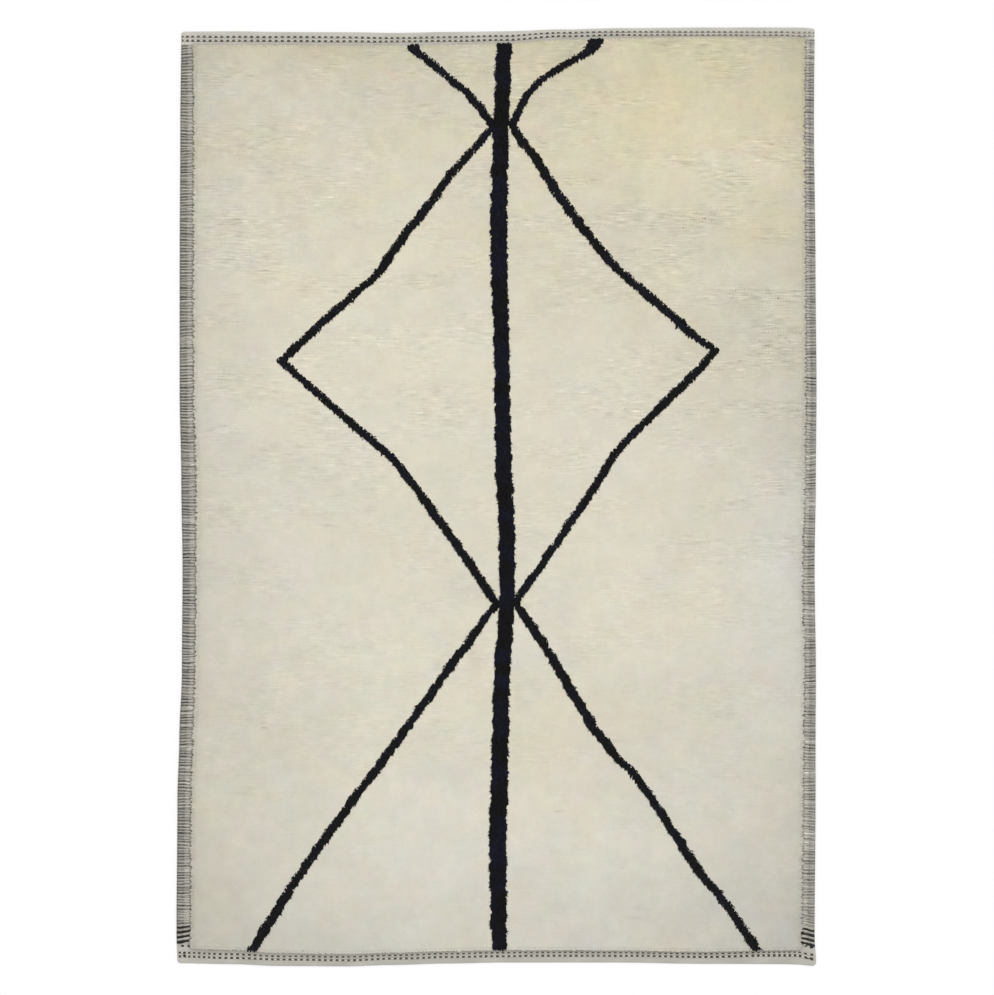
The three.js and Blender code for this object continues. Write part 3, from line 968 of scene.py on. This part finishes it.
# Thin wisps of the dark wool stray over the ivory along the edges of every line.
WISPS = 2
WISP_WIDTH = 0.0030
WISP_FALL = (0.006, 0.0105)
WISP_TOP = 0.0173
WISP_LEAN = 0.95
ROW_STRAY = 0.25
edge_x, edge_row, edge_side = np.repeat(line_edges, WISPS, axis=0).T
count = len(edge_x)
edge_row = edge_row + rng.uniform(-ROW_STRAY, ROW_STRAY, count)
points = lay_locks(
    np.stack([edge_x, edge_row, np.full(count, WISP_WIDTH)], axis=-1),
    rng.uniform(*WISP_FALL, count),
    np.full(count, WISP_TOP),
    edge_side * rng.uniform(0.0, WISP_LEAN, count),
)
pile_piece("lozenge_wisps", points, lock_faces, dark_colours(points), navy_wool)

# The fringe of locks that falls outwards all round the pile, over the selvedges and the webs.
BORDER_LOCK_WIDTH = 0.0065
BORDER_FOOT = 0.0095
LOCKS_PER_ROW = 3
BOTTOM_FRINGE_ROW = 0.3
TOP_FRINGE_ROW = row_count - 1.2
SIDE_FALL = (0.0125, 0.0155)
SIDE_LEAN = (1.25, 1.75)
BOTTOM_FALL = (0.0118, 0.0150)
FRINGE_TOP = (0.0140, 0.0150)
FRINGE_SPREAD = 1.3
FRINGE_DUST_AND_SHADE = np.array([0.96, 0.96, 0.86, 0.66])  # a lock is darker towards its point: painted shade where it falls over the edge, and dust
FRINGE_TONE_SPREAD = 0.04
side_rows = np.arange(0, row_count, 1 / LOCKS_PER_ROW)
end_x = np.arange(field_left, field_right, BORDER_LOCK_WIDTH)
top_x = end_x[np.abs(end_x[:, None] - last_knots[:, 0]).min(axis=1) > BORDER_LOCK_WIDTH / 2]
side_count, end_count, top_count = len(side_rows), len(end_x), len(top_x)
left_x = np.full(side_count, field_left + BORDER_FOOT)
right_x = np.full(side_count, field_right - BORDER_FOOT)
bottom_rows = np.full(end_count, BOTTOM_FRINGE_ROW)
top_rows = np.full(top_count, TOP_FRINGE_ROW)
border_runs = [
    # x, row, how far they fall, how they lean
    (left_x, side_rows, SIDE_FALL, -rng.uniform(*SIDE_LEAN, side_count)),
    (right_x, side_rows, SIDE_FALL, rng.uniform(*SIDE_LEAN, side_count)),
    (end_x, bottom_rows, BOTTOM_FALL, rng.normal(0, END_LEAN_SPREAD, end_count)),
    (top_x, top_rows, TOP_FALL, math.pi + rng.normal(0, END_LEAN_SPREAD, top_count)),
]
points = np.concatenate([
    lay_locks(
        np.stack([x, row, np.full(len(x), BORDER_LOCK_WIDTH)], axis=-1),
        rng.uniform(*falls, len(x)),
        rng.uniform(*FRINGE_TOP, len(x)),
        lean,
        heights=FRINGE_HEIGHTS,
        spread=FRINGE_SPREAD,
        lip=FRINGE_LIP,
    )
    for x, row, falls, lean in border_runs
])
place_x, place_y = (np.repeat(points[:, :1, axis], len(lock_corners), 1) for axis in (0, 1))
tone = FRINGE_DUST_AND_SHADE[lock_stage] + FRINGE_TONE_SPREAD * rng.normal(0, 1, (len(points), 1))
colours = fleece_and_shade_colours(place_x, place_y, tone)
pile_piece("pile_border", points, lock_faces, colours, ivory_wool)


# ----------------------------------------------------------------------------------------------------------
# The selvedges. Black and ivory yarn is lashed in turn round the two bundles of warp of each long side, so
# that the edge can't fray. The black is drawn tight on the outer bundle and sinks in on the inner one. The
# weaver began at the bottom with four thicker turns of black, and tied off below them.

TURN_PITCH = 0.0096
WEB_OVERLAP = 0.002
FIRST_BOLD_TURN = -1.3665
BOLD_GAP = 0.012
BOLD_TURNS = 4
BOLD_PITCH = 0.0154
BOLD_TILT = 0.0065
STEEPENING = 0.10  # the length of side over which the turns come to lie as steep as the bold ones
TURN_STATIONS = 12
STATIONS_OVER = 8
SECTION_CORNERS = 4
BLACK_HALF_WIDTH = (0.0022, 0.0012)  # on the outer bundle, and on the inner one
BOLD_HALF_WIDTH = (0.0043, 0.0035)
BLACK_SPREAD = 0.22
TURN_OVERLAP = 0.0007
LEAST_HALF_WIDTH = 0.0008
TURN_STRAY = 0.0010
FIRST_SHARE = 0.02
BLACK_INNER_END = 0.96
IVORY_INNER_END = 0.98
FOOT_HEIGHT = 0.0030  # where a turn comes up round the edge
DIVE_HEIGHT = 0.0112  # where it goes down under the pile
UNDERSIDE = 0.0011
BETWEEN_RIBS = (0.42, 0.58)
DIVE_START = 0.82
DIVE_WIDTH = 0.75
STATION_SPREAD = 0.16
YARN_STRAY = 0.0003
SLANT_DRIFT = 0.0048
SLANT_LENGTH = 0.08
SLANT = -0.0006
SLANT_SPREAD = 0.0009
BOW_DRIFT = 0.0016
BOW_LENGTH = 0.19
BOW_SPREAD = 0.0004
WORN_TOP = (1.34, 1.41)  # where along a side the wear grows to what it is at the top
WEAR_SPREAD = 0.38
BLACK_WOOL = np.array([0.100, 0.096, 0.087])
BOLD_BLACK_WOOL = np.array([0.022, 0.021, 0.020])
LASHING_IVORY = np.array([0.410, 0.388, 0.345])
IVORY_TONES = (1.08, 0.92)  # on the inner bundle, and on the outer one
IVORY_SPREAD = 0.08


def lay_turns(side, middles, tilt, halves, inner_end, seed):
    """Turns of yarn round a side, as closed loops: the place of each corner, and how far out each station is,
    from 0 on the inner bundle to 1 on the outer one."""
    edge, inward, width = side
    outer_half, inner_half = halves
    rng = np.random.default_rng(seed)
    count = len(middles)
    # Up over the ribs from the outer edge to the inner one, then back underneath.
    over = np.linspace(FIRST_SHARE, inner_end, STATIONS_OVER)
    under = TURN_STATIONS - STATIONS_OVER
    share = np.concatenate([over, np.linspace(0.9, 0.1, under)])
    height = np.concatenate([selvedge_top(over) - LASHING_THICKNESS / 2, np.full(under, UNDERSIDE)])
    height[0] = FOOT_HEIGHT
    height[STATIONS_OVER - 1] = inner_end ** 8 * DIVE_HEIGHT
    # A turn narrows from the outer bundle to the inner one, and again where it dives under the pile.
    outer = np.interp(share, BETWEEN_RIBS, [1, 0])
    half = outer_half[:, None] * outer + inner_half[:, None] * (1 - outer)
    half = half * np.interp(share, [DIVE_START, 1], [1, DIVE_WIDTH])
    half = half * (1 + rng.normal(0, STATION_SPREAD, (count, TURN_STATIONS)))
    half = np.maximum(half, LEAST_HALF_WIDTH)
    angle = np.arange(SECTION_CORNERS) * 2 * np.pi / SECTION_CORNERS
    # The yarn is thick across its path: straight up on the ribs, and outwards round the edges.
    step = (np.roll(share, -1) - np.roll(share, 1)) * width
    rise = np.roll(height, -1) - np.roll(height, 1)
    length = np.hypot(step, rise)
    thick = np.sin(angle) * LASHING_THICKNESS / 2
    local_x = share[:, None] * width - (rise / length)[:, None] * thick
    local_z = height[:, None] + (step / length)[:, None] * thick
    slant = SLANT_DRIFT * drift(middles, SLANT_LENGTH, seed + 5) + rng.normal(SLANT, SLANT_SPREAD, count)
    bow = BOW_DRIFT * drift(middles, BOW_LENGTH, seed + 6) + rng.normal(0, BOW_SPREAD, count)
    y = middles[:, None] + (slant + tilt)[:, None] * share + bow[:, None] * np.sin(np.pi * share)
    y = y[..., None] + np.cos(angle) * half[..., None]
    y = y + rng.normal(0, YARN_STRAY, (count, TURN_STATIONS, 1))
    x = edge + inward * np.broadcast_to(local_x, y.shape)
    z = np.broadcast_to(np.maximum(local_z, 0.0), y.shape)
    return as_woven(np.stack([x, y, z], axis=-1)), outer


def lash(name, inward, loops, colours):
    """One yarn's turns along a side, as one piece."""
    ring = np.arange(TURN_STATIONS * SECTION_CORNERS).reshape(TURN_STATIONS, SECTION_CORNERS)
    following, beside = np.roll(ring, -1, 0), np.roll(ring, -1, 1)
    corner = np.roll(following, -1, 1)
    faces = quads(ring, beside, corner, following) if inward > 0 else quads(ring, following, corner, beside)
    faces = faces[None] + ring.size * np.arange(len(loops))[:, None, None]
    piece = new_piece(name, loops, faces.reshape(-1, 4))
    colour_corners(piece, np.broadcast_to(colours[:, :, None], loops.shape))
    flat_map(piece)
    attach(piece, "root")
    piece.data.materials.append(lashing_wool)
    return piece


lashing_wool = corner_coloured_wool("lashing_wool", FIBRES_ACROSS)
lashing_top = HALF_LENGTH - TOP_WEB_DEPTH + WEB_OVERLAP
even_turns = np.arange(lashing_top, FIRST_BOLD_TURN + BOLD_GAP, -TURN_PITCH)
bold_turns = FIRST_BOLD_TURN - BOLD_PITCH * np.arange(BOLD_TURNS)
sides = [
    # name, outer edge, the way to the pile, width, how far the bold turns sag at the edge, and how worn the
    # black is on the outer bundle, on the inner one, and at the top
    ("left", SIDE_LINES[0], 1, LEFT_SELVEDGE_WIDTH, 0.0, (1.35, 3.6, 1.0)),
    ("right", SIDE_LINES[3], -1, RIGHT_SELVEDGE_WIDTH, 0.006, (2.40, 4.2, 2.0)),
]
for seed, (side_name, edge, inward, width, sag, worn) in enumerate(sides):
    rng = np.random.default_rng(40 + seed)
    side = (edge, inward, width)
    bold = np.arange(len(even_turns) + BOLD_TURNS) >= len(even_turns)
    black_middles = np.concatenate([even_turns + rng.normal(0, TURN_STRAY, len(even_turns)), bold_turns])
    black_halves = [
        np.where(bold, thick, thin * (1 + rng.normal(0, BLACK_SPREAD, len(bold))))
        for thick, thin in zip(BOLD_HALF_WIDTH, BLACK_HALF_WIDTH)
    ]
    steep = np.interp(black_middles, [FIRST_BOLD_TURN, FIRST_BOLD_TURN + STEEPENING], [1.0, 0.0])
    black_middles = black_middles - sag * steep
    tilt = (BOLD_TILT + sag) * steep
    loops, outer = lay_turns(side, black_middles, tilt, black_halves, BLACK_INNER_END, 50 + seed)
    fade = np.exp(rng.normal(0, WEAR_SPREAD, len(bold))) * np.interp(black_middles, WORN_TOP, (1, worn[2]))
    fade = fade[:, None] * (worn[0] * outer + worn[1] * (1 - outer))
    black_wool = np.where(bold[:, None, None], BOLD_BLACK_WOOL, BLACK_WOOL * fade[..., None])
    black = lash(f"selvedge_{side_name}_black", inward, loops, black_wool)

    ivory_middles = (black_middles[1:] + black_middles[:-1]) / 2
    gap = black_middles[:-1] - black_middles[1:]
    ivory_halves = [gap / 2 + TURN_OVERLAP - (half[1:] + half[:-1]) / 2 for half in black_halves]
    tilt = (tilt[1:] + tilt[:-1]) / 2
    loops, outer = lay_turns(side, ivory_middles, tilt, ivory_halves, IVORY_INNER_END, 50 + seed)
    tone = (1 + rng.normal(0, IVORY_SPREAD, len(gap)))[:, None] * np.interp(outer, (0, 1), IVORY_TONES)
    ivory = lash(f"selvedge_{side_name}_ivory", inward, loops, LASHING_IVORY * tone[..., None])
    for piece in (black, ivory):
        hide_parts(f"selvedge_{side_name}")


BUMP_ROUNDS = 2  # how finely a stitch or a knot is rounded


def yarn_ends(name, ends, height, colour):
    """Stitches and knots that end a yarn, each a low rounded bump on the bottom web."""
    bpy.ops.object.select_all(action="DESELECT")
    bumps = []
    for x, y, across, along in ends:
        bpy.ops.mesh.primitive_ico_sphere_add(subdivisions=BUMP_ROUNDS, radius=0.5, location=(x, y, WEB_FACE))
        bumps.append(bpy.context.object)
        bumps[-1].scale = (across, along, 2 * height)
    for bump in bumps:
        bump.select_set(True)
    bpy.ops.object.join()
    bpy.ops.object.transform_apply()
    bpy.ops.object.shade_smooth()
    piece = bpy.context.object
    piece.name = name
    colour_corners(piece, np.broadcast_to(colour, (len(piece.data.vertices), 3)))
    piece.data.materials.clear()
    piece.data.materials.append(lashing_wool)
    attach(piece, "root")
    return piece


# The ends of the black yarn, darned down into the bottom web in two small stitches on each side.
STITCH_HEIGHT = 0.0018
#    x, y, size across the rug, size along it
DARNED_ENDS = [
    (-0.983, -1.4090, 0.0100, 0.0070),
    (-0.964, -1.4100, 0.0075, 0.0068),
    (0.972, -1.4090, 0.0075, 0.0066),
    (0.989, -1.4140, 0.0115, 0.0066),
]
darned = yarn_ends("darned_ends", DARNED_ENDS, STITCH_HEIGHT, BOLD_BLACK_WOOL)


# ----------------------------------------------------------------------------------------------------------
# The twined cords. Two yarns, one dark brown and one ivory, cross over and under the warps of each end web in
# turn, so that the dark one shows as a row of dashes. Two such cords run side by side on each web, a little
# tighter towards the ends of the web and its right side.

#    x, dashes from the first one to there
TOP_DASHES = np.array([
    (-1.002, -1), (-0.983, 0), (-0.797, 10), (-0.583, 21), (-0.390, 31), (-0.189, 42),
    (0.010, 53), (0.208, 64), (0.412, 75), (0.608, 86), (0.803, 97), (1.002, 108),
])
BOTTOM_DASHES = np.array([
    (-1.002, -1.4), (-0.980, 0), (-0.886, 6), (-0.793, 11), (-0.684, 17), (-0.387, 33), (-0.099, 49),
    (0.204, 66), (0.502, 83), (0.701, 94), (0.814, 100), (0.914, 106), (1.002, 111.5),
])
#    x, how faded the brown yarn is
TOP_FADING = np.array([(-1.0, 1.5), (0.3, 1.5), (0.6, 2.6), (1.0, 3.2)])
BOTTOM_FADING = np.array([(-1.0, 0.8), (-0.6, 1.2), (-0.2, 1.4), (0.4, 1.4), (0.7, 0.8), (1.0, 0.8)])
UNFADED = np.array([(0.0, 1.0)])
STATIONS_PER_DASH = 8
YARN_CORNERS = 6
YARN_HALF_WIDTH = 0.0025
YARN_HALF_HEIGHT = 0.0014
TWINE_LIFT = 0.0012
CLEAR_OF_WEB = 0.0002
TWIST_DRIFT = 0.30
TWIST_LENGTH = 0.03
LINE_DRIFT = 0.0008
LINE_LENGTH = 0.07
YARN_SWELL = 0.20
YARN_SPREAD = 0.08
BROWN_SPREAD = 0.35
BROWN_LENGTH = 0.020
BROWN_WOOL = np.array([0.073, 0.063, 0.047])
TWINE_IVORY = np.array([0.500, 0.480, 0.430])


def twine(name, line, dashes, half_turn, colour, fading, seed):
    """One yarn of a cord, rising over the web for half of each turn and dipping into it for the rest."""
    rng = np.random.default_rng(seed)
    count = round((dashes[-1, 1] - dashes[0, 1]) * STATIONS_PER_DASH)
    turned = np.linspace(dashes[0, 1], dashes[-1, 1], count + 1)
    x = np.interp(turned, dashes[:, 1], dashes[:, 0])
    angle_turned = 2 * np.pi * (turned + half_turn) + TWIST_DRIFT * drift(x, TWIST_LENGTH, seed)
    lift = np.cos(angle_turned)
    z = WEB_FACE + CLEAR_OF_WEB + TWINE_LIFT * lift
    middle_y = line + LINE_DRIFT * drift(x, LINE_LENGTH, seed + 1)
    angle = np.arange(YARN_CORNERS) * 2 * np.pi / YARN_CORNERS
    fat = (1 + YARN_SWELL * lift + YARN_SPREAD * rng.normal(0, 1, count + 1))[:, None]
    ring_y = middle_y[:, None] + np.cos(angle) * YARN_HALF_WIDTH * fat
    ring_z = z[:, None] + np.sin(angle) * YARN_HALF_HEIGHT
    ring_x = np.repeat(x[:, None], YARN_CORNERS, 1)
    ring = np.arange(ring_x.size).reshape(-1, YARN_CORNERS)
    beside = np.roll(ring, -1, 1)
    faces = quads(ring[:-1], beside[:-1], beside[1:], ring[1:])
    piece = new_piece(name, as_woven(np.stack([ring_x, ring_y, ring_z], axis=-1)), faces)
    shape = bmesh.new()
    shape.from_mesh(piece.data)
    bmesh.ops.holes_fill(shape, edges=shape.edges)
    bmesh.ops.recalc_face_normals(shape, faces=shape.faces)
    shape.to_mesh(piece.data)
    shape.free()
    tone = 1 + BROWN_SPREAD * drift(x, BROWN_LENGTH, seed + 2) * (half_turn == 0)
    tone = tone * np.interp(x, *fading.T)
    colour_corners(piece, colour * np.repeat(tone, YARN_CORNERS)[:, None])
    flat_map(piece)
    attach(piece, "root")
    piece.data.materials.append(twining_wool)
    return piece


twining_wool = corner_coloured_wool("twining_wool", FIBRES_ACROSS)
cords = [
    # node, line, dashes, how faded the brown is
    ("top_outer", END_LINES[6], TOP_DASHES, TOP_FADING),
    ("top_inner", END_LINES[5], TOP_DASHES, TOP_FADING),
    ("bottom_inner", END_LINES[2], BOTTOM_DASHES, BOTTOM_FADING),
    ("bottom_outer", END_LINES[1], BOTTOM_DASHES, BOTTOM_FADING),
]
for seed, (cord, line, dashes, brown_fading) in enumerate(cords):
    yarns = [("brown", 0.0, BROWN_WOOL, brown_fading), ("ivory", 0.5, TWINE_IVORY, UNFADED)]
    for colour_name, half_turn, colour, fading in yarns:
        name = f"twining_{cord}_{colour_name}"
        piece = twine(name, line, dashes, half_turn, colour, fading, 60 + 3 * seed)
        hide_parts(f"twining_{cord}")

# The brown yarns are tied off at the bottom: at the left in a knot on each cord, and at the right in a tail
# along the outer one.
KNOT_HEIGHT = 0.0032
TIED_BROWN_WOOL = BROWN_WOOL * 0.5
#    x, y, size across the rug, size along it
TIED_ENDS = [
    (-0.9775, -1.4400, 0.0120, 0.0080),
    (-0.9775, -1.4310, 0.0105, 0.0070),
    (0.984, -1.4480, 0.0200, 0.0060),
]
yarn_ends("tied_ends", TIED_ENDS, KNOT_HEIGHT, TIED_BROWN_WOOL)


# ----------------------------------------------------------------------------------------------------------
# The studio: a plain pale floor, soft light from all round with a little more from the upper right, and a
# camera square over the rug, far enough off that the rug is seen flat.

FLOOR_SIZE = 60
FLOOR_PAINT = (0.88, 0.88, 0.88, 1)
ROOM_LIGHT = 0.76
LAMP_LIGHT = 1.35
LAMP_SPREAD = math.radians(60)
LAMP_TURN = (math.radians(28), 0, math.radians(135))
LAMP_PLACE = (3.0, 3.0, 8.0)
FRAME_WIDTH = 3.121
CAMERA_PLACE = (0.003, -0.003, 12.0)
SENSOR_WIDTH = 36

bpy.ops.object.select_all(action="DESELECT")
bpy.ops.mesh.primitive_plane_add(size=FLOOR_SIZE, location=(0, 0, 0))
floor = bpy.context.object
floor.name = "floor"
paint = bpy.data.materials.new("pale_floor")
paint.use_nodes = True
paint_shader = paint.node_tree.nodes["Principled BSDF"]
paint_shader.inputs["Base Color"].default_value = FLOOR_PAINT
paint_shader.inputs["Roughness"].default_value = 0.9
floor.data.materials.append(paint)

world = bpy.data.worlds.new("studio")
world.use_nodes = True
background = world.node_tree.nodes["Background"]
background.inputs["Color"].default_value = (1, 1, 1, 1)
background.inputs["Strength"].default_value = ROOM_LIGHT
bpy.context.scene.world = world

bpy.ops.object.light_add(type="SUN", location=LAMP_PLACE)
lamp = bpy.context.object
lamp.name = "soft_lamp"
lamp.data.angle = LAMP_SPREAD
lamp.data.energy = LAMP_LIGHT
lamp.rotation_euler = LAMP_TURN

camera_data = bpy.data.cameras.new("camera")
camera_data.sensor_width = SENSOR_WIDTH
camera_data.lens = SENSOR_WIDTH * CAMERA_PLACE[2] / FRAME_WIDTH
camera_data.clip_end = 100
camera = bpy.data.objects.new("camera", camera_data)
camera.location = CAMERA_PLACE
bpy.context.scene.collection.objects.link(camera)
bpy.context.scene.camera = camera
bpy.context.scene.view_settings.view_transform = "Standard"
